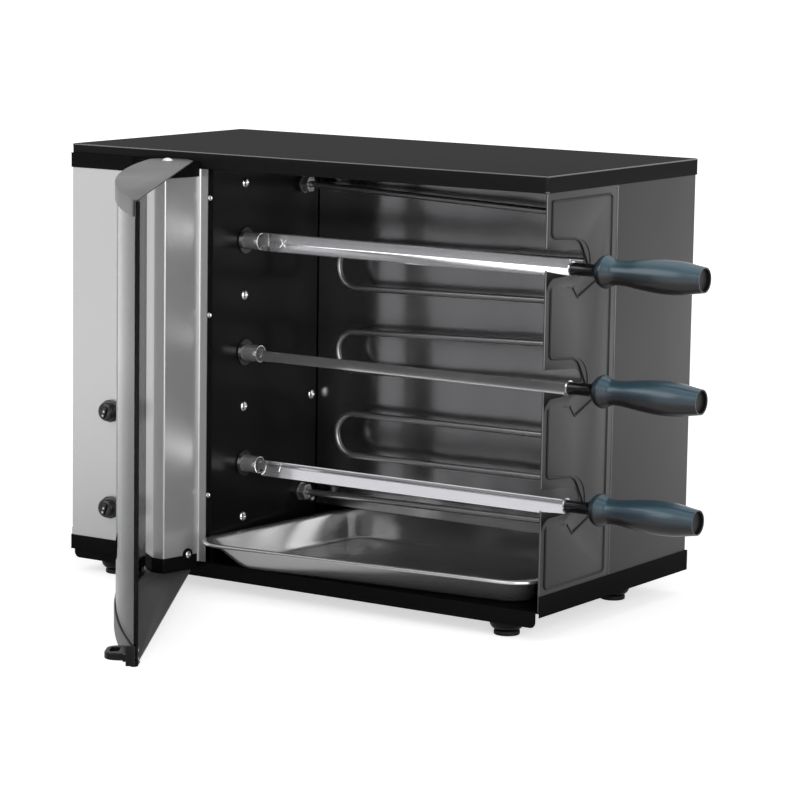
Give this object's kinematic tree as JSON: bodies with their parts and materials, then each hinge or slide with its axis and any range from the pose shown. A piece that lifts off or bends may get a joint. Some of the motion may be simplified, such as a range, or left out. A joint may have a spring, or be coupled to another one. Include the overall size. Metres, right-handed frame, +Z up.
{
  "type": "rotisserie oven",
  "caption": "Electric rotisserie oven: black cabinet, curved glass side door half open, gear-driven spits with turned grips, folded heating element and drip pan.",
  "frame": {"origin": "bottom centre of the whole part's bounding box, with the door half open", "axes": "+X from the control side to the spit handles, +Y from the front to the back, +Z up"},
  "size_m": [0.696, 0.6744, 0.438],
  "materials": {
    "black_paint": "semi-gloss",
    "dark_paint": "semi-gloss",
    "brushed_stainless": "brushed",
    "polished_stainless": "polished",
    "bright_sheet": "bright",
    "element_steel": "satin",
    "plain_steel": "satin",
    "zinc_screws": "bright",
    "black_metal": "gloss",
    "blue_grey_grip": "satin",
    "black_gloss_plastic": "gloss",
    "black_moulding": "satin",
    "black_rubber": "matt",
    "smoked_glass": "polished"
  },
  "bodies": {
    "cabinet": {"base_pan": "black_paint", "cavity_left_wall": "black_paint", "control_fascia": "brushed_stainless", "cord_bush": "black_rubber", "drive_motor": "plain_steel", "element_nuts": "element_steel", "element_support": "element_steel", "fascia_low_band": "black_paint", "fascia_top_band": "black_paint", "flange_screws": "zinc_screws", "foot_bowls": "black_moulding", "foot_pads": "black_rubber", "gear_pins": "plain_steel", "gear_plate": "plain_steel", "heating_element": "element_steel", "inner_deck": "black_paint", "left_side_panel": "black_paint", "rear_reflector": "bright_sheet", "rear_screws": "zinc_screws", "rear_wrap_panel": "black_paint", "right_front_panel": "black_paint", "rotation_switch": "black_moulding", "spit_bushes": "plain_steel", "terminal_block": "black_moulding", "thermostat_body": "black_moulding", "thermostat_probe": "element_steel", "top_cover": "black_paint", "wall_screws": "zinc_screws"},
    "door": {"door_top_plate": "dark_paint", "door_low_plate": "dark_paint", "door_glass": "smoked_glass", "glass_clips": "black_moulding", "door_handle": "black_moulding", "handle_screws": "zinc_screws", "hinge_pins": "zinc_screws"},
    "heat_control": {"heat_knob": "black_gloss_plastic", "heat_knob_shaft": "plain_steel"},
    "rotation_control": {"rotation_knob": "black_gloss_plastic", "rotation_knob_shaft": "plain_steel"},
    "motor_shaft": {"motor_pinion": "plain_steel"},
    "lower_idler": {"lower_idler_gear": "plain_steel"},
    "upper_idler": {"upper_idler_gear": "plain_steel"},
    "drip_pan_body": {"drip_pan": "bright_sheet"},
    "lower_spindle": {"lower_drive_tube": "polished_stainless", "lower_spit_gear": "plain_steel"},
    "lower_sleeve": {"lower_spit_sleeve": "black_metal"},
    "lower_spit": {"lower_spit_blade": "polished_stainless", "lower_spit_grip": "blue_grey_grip"},
    "middle_spindle": {"middle_drive_tube": "polished_stainless", "middle_spit_gear": "plain_steel"},
    "middle_sleeve": {"middle_spit_sleeve": "black_metal"},
    "middle_spit": {"middle_spit_blade": "polished_stainless", "middle_spit_grip": "blue_grey_grip"},
    "upper_spindle": {"upper_drive_tube": "polished_stainless", "upper_spit_gear": "plain_steel"},
    "upper_sleeve": {"upper_spit_sleeve": "black_metal"},
    "upper_spit": {"upper_spit_blade": "polished_stainless", "upper_spit_grip": "blue_grey_grip"}
  },
  "joints": [
    {"name": "door_hinge", "type": "hinge", "parent": "cabinet", "child": "door", "pos_m": [-0.206, 0.01921, 0], "axis": [0, 0, 1], "range_deg": [-55.5, 59.5]},
    {"name": "heat_knob_turn", "type": "hinge", "parent": "cabinet", "child": "heat_control", "pos_m": [-0.295, 0.04421, 0.1705], "axis": [0, 1, 0], "range_deg": [0, 270]},
    {"name": "rotation_knob_turn", "type": "hinge", "parent": "cabinet", "child": "rotation_control", "pos_m": [-0.295, 0.04421, 0.0715], "axis": [0, 1, 0], "range_deg": [0, 90]},
    {"name": "middle_spindle_turn", "type": "hinge", "parent": "cabinet", "child": "middle_spindle", "pos_m": [-0.176, 0.10021, 0.2355], "axis": [1, 0, 0], "continuous": true},
    {"name": "lower_spindle_turn", "type": "hinge", "parent": "cabinet", "child": "lower_spindle", "pos_m": [-0.176, 0.10021, 0.123], "axis": [1, 0, 0], "continuous": true},
    {"name": "lower_idler_turn", "type": "hinge", "parent": "cabinet", "child": "lower_idler", "pos_m": [-0.188, 0.10021, 0.17925], "axis": [1, 0, 0], "continuous": true},
    {"name": "upper_spindle_turn", "type": "hinge", "parent": "cabinet", "child": "upper_spindle", "pos_m": [-0.176, 0.10021, 0.348], "axis": [1, 0, 0], "continuous": true},
    {"name": "upper_idler_turn", "type": "hinge", "parent": "cabinet", "child": "upper_idler", "pos_m": [-0.188, 0.10021, 0.29175], "axis": [1, 0, 0], "continuous": true},
    {"name": "motor_shaft_turn", "type": "hinge", "parent": "cabinet", "child": "motor_shaft", "pos_m": [-0.188, 0.14271, 0.2355], "axis": [1, 0, 0], "continuous": true},
    {"name": "lower_spit_swing", "type": "hinge", "parent": "cabinet", "child": "lower_sleeve", "pos_m": [-0.152, 0.10021, 0.123], "axis": [0, 0.2167, 0.9762], "range_deg": [-12, 0]},
    {"name": "lower_spit_turn", "type": "hinge", "parent": "lower_sleeve", "child": "lower_spit", "pos_m": [0.22, 0.10021, 0.123], "axis": [1, 0, 0], "continuous": true},
    {"name": "middle_spit_swing", "type": "hinge", "parent": "cabinet", "child": "middle_sleeve", "pos_m": [-0.152, 0.10021, 0.2355], "axis": [0, 0.2167, 0.9762], "range_deg": [-12, 0]},
    {"name": "middle_spit_turn", "type": "hinge", "parent": "middle_sleeve", "child": "middle_spit", "pos_m": [0.22, 0.10021, 0.2355], "axis": [1, 0, 0], "continuous": true},
    {"name": "upper_spit_swing", "type": "hinge", "parent": "cabinet", "child": "upper_sleeve", "pos_m": [-0.152, 0.10021, 0.348], "axis": [0, 0.2167, 0.9762], "range_deg": [-12, 0]},
    {"name": "upper_spit_turn", "type": "hinge", "parent": "upper_sleeve", "child": "upper_spit", "pos_m": [0.22, 0.10021, 0.348], "axis": [1, 0, 0], "continuous": true},
    {"name": "drip_pan_slide", "type": "slide", "parent": "cabinet", "child": "drip_pan_body", "axis": [0, 1, 0], "range_m": [-0.105, 0]}
  ],
  "couplings": [
    {"joint": "lower_spit_turn", "follows": "middle_spindle_turn", "ratio": 1},
    {"joint": "middle_spit_turn", "follows": "middle_spindle_turn", "ratio": 1},
    {"joint": "upper_spit_turn", "follows": "middle_spindle_turn", "ratio": 1},
    {"joint": "lower_spindle_turn", "follows": "middle_spindle_turn", "ratio": 1},
    {"joint": "upper_spindle_turn", "follows": "middle_spindle_turn", "ratio": 1},
    {"joint": "lower_idler_turn", "follows": "middle_spindle_turn", "ratio": -0.95652},
    {"joint": "upper_idler_turn", "follows": "middle_spindle_turn", "ratio": -0.95652},
    {"joint": "motor_shaft_turn", "follows": "middle_spindle_turn", "ratio": -1.8333}
  ]
}
